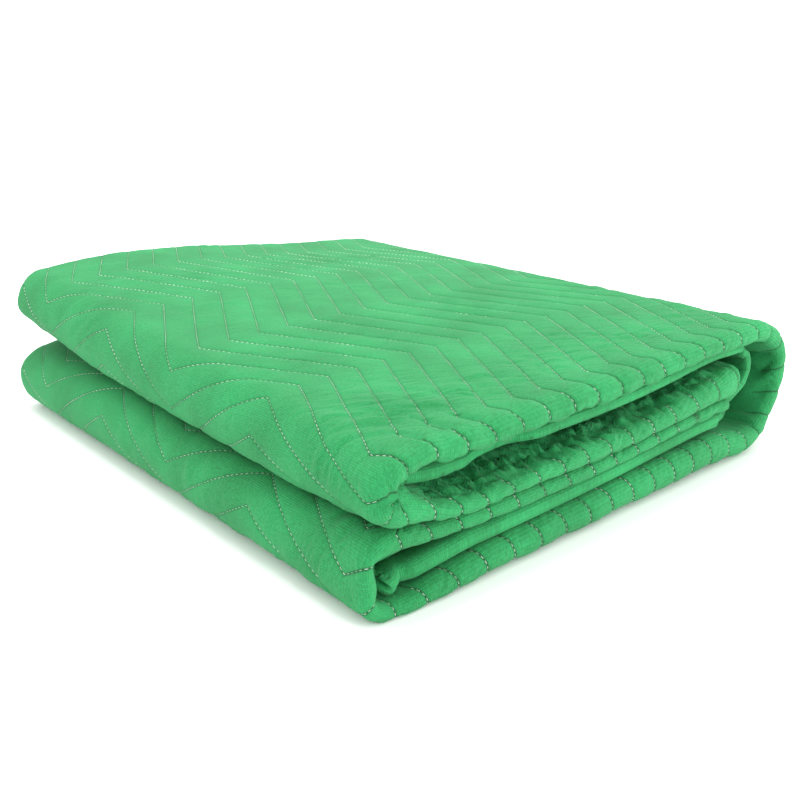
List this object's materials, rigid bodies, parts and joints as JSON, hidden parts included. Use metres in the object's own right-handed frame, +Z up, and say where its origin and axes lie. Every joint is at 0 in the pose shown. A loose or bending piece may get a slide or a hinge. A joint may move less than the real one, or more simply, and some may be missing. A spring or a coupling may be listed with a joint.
{
  "type": "moving blanket",
  "caption": "Quilted moving blanket with zigzag stitching, folded in three and then as a double gate into a thick flat bundle.",
  "frame": {"origin": "middle of the folded blanket's outline, on the surface that it lies on", "axes": "+X from the two rounded noses to the broad spine, +Y from the open side to the closed back, +Z up"},
  "size_m": [0.54, 0.6268, 0.1517],
  "materials": {
    "quilted_fabric": "woven green cover fabric, matt with a soft sheen, quilted over a thin filling with pale thread"
  },
  "bodies": {
    "root": {"blanket": "quilted_fabric"}
  },
  "joints": []
}
